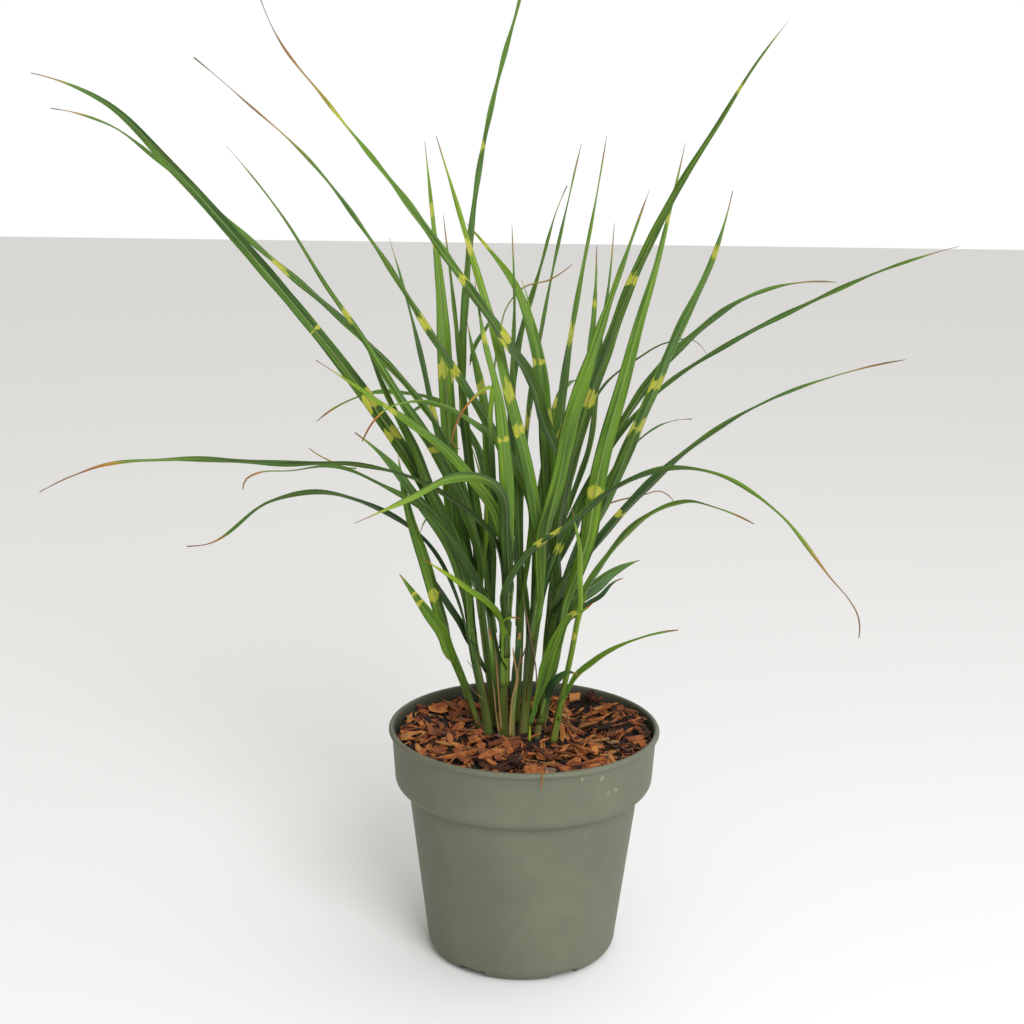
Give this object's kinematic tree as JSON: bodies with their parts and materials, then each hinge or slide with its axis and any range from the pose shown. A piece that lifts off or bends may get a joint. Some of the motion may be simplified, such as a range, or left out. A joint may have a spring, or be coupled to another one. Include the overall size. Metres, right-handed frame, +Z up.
{
  "type": "potted ornamental grass clump",
  "caption": "Clump of arching, cross-banded ornamental grass in a round plastic nursery pot, with potting soil under a bark mulch.",
  "frame": {"origin": "the middle of the flat pad under the pot's base, on the ground", "axes": "+Z up along the pot's axis; -Y is the front of the clump, the side it is seen from; +X is to the right seen from the front"},
  "size_m": [0.5462, 0.4404, 0.7101],
  "materials": {
    "pot": "matte grey-green injection-moulded polypropylene with a slight sheen, dusty",
    "soil": "damp dark brown crumbly potting compost",
    "bark": "dry orange-brown bark chips, rough",
    "shoot": "smooth rolled green leaf sheaths, dry at the foot",
    "leaf": "semi-matte green grass blades with yellow cross-bands and dry brown tips"
  },
  "bodies": {
    "root": {"bark_mulch": "bark", "leaf_back_centre_1": "leaf", "leaf_back_centre_2": "leaf", "leaf_back_centre_3": "leaf", "leaf_back_centre_4": "leaf", "leaf_back_left_1": "leaf", "leaf_back_left_2": "leaf", "leaf_back_left_3": "leaf", "leaf_back_left_4": "leaf", "leaf_back_right_1": "leaf", "leaf_back_right_2": "leaf", "leaf_back_right_3": "leaf", "leaf_back_right_4": "leaf", "leaf_back_right_5": "leaf", "leaf_back_right_6": "leaf", "leaf_back_right_7": "leaf", "leaf_centre_1": "leaf", "leaf_centre_2": "leaf", "leaf_centre_3": "leaf", "leaf_centre_right_1": "leaf", "leaf_centre_right_2": "leaf", "leaf_centre_right_3": "leaf", "leaf_far_back_1": "leaf", "leaf_far_back_2": "leaf", "leaf_far_back_3": "leaf", "leaf_far_back_4": "leaf", "leaf_far_back_5": "leaf", "leaf_far_left_1": "leaf", "leaf_far_left_2": "leaf", "leaf_left_1": "leaf", "leaf_left_2": "leaf", "leaf_left_3": "leaf", "leaf_left_4": "leaf", "leaf_left_back_1": "leaf", "leaf_left_back_2": "leaf", "leaf_left_back_3": "leaf", "leaf_mid_left_1": "leaf", "leaf_mid_left_2": "leaf", "leaf_mid_left_3": "leaf", "leaf_mid_left_4": "leaf", "leaf_mid_left_5": "leaf", "leaf_mid_left_6": "leaf", "leaf_mid_left_7": "leaf", "leaf_mid_left_8": "leaf", "leaf_right_1": "leaf", "leaf_right_2": "leaf", "nursery_pot": "pot", "potting_soil": "soil", "shoot_back_centre": "shoot", "shoot_back_left": "shoot", "shoot_back_right": "shoot", "shoot_centre": "shoot", "shoot_centre_right": "shoot", "shoot_far_back": "shoot", "shoot_far_left": "shoot", "shoot_front_stub": "shoot", "shoot_left": "shoot", "shoot_left_back": "shoot", "shoot_mid_left": "shoot", "shoot_right": "shoot"}
  },
  "joints": []
}
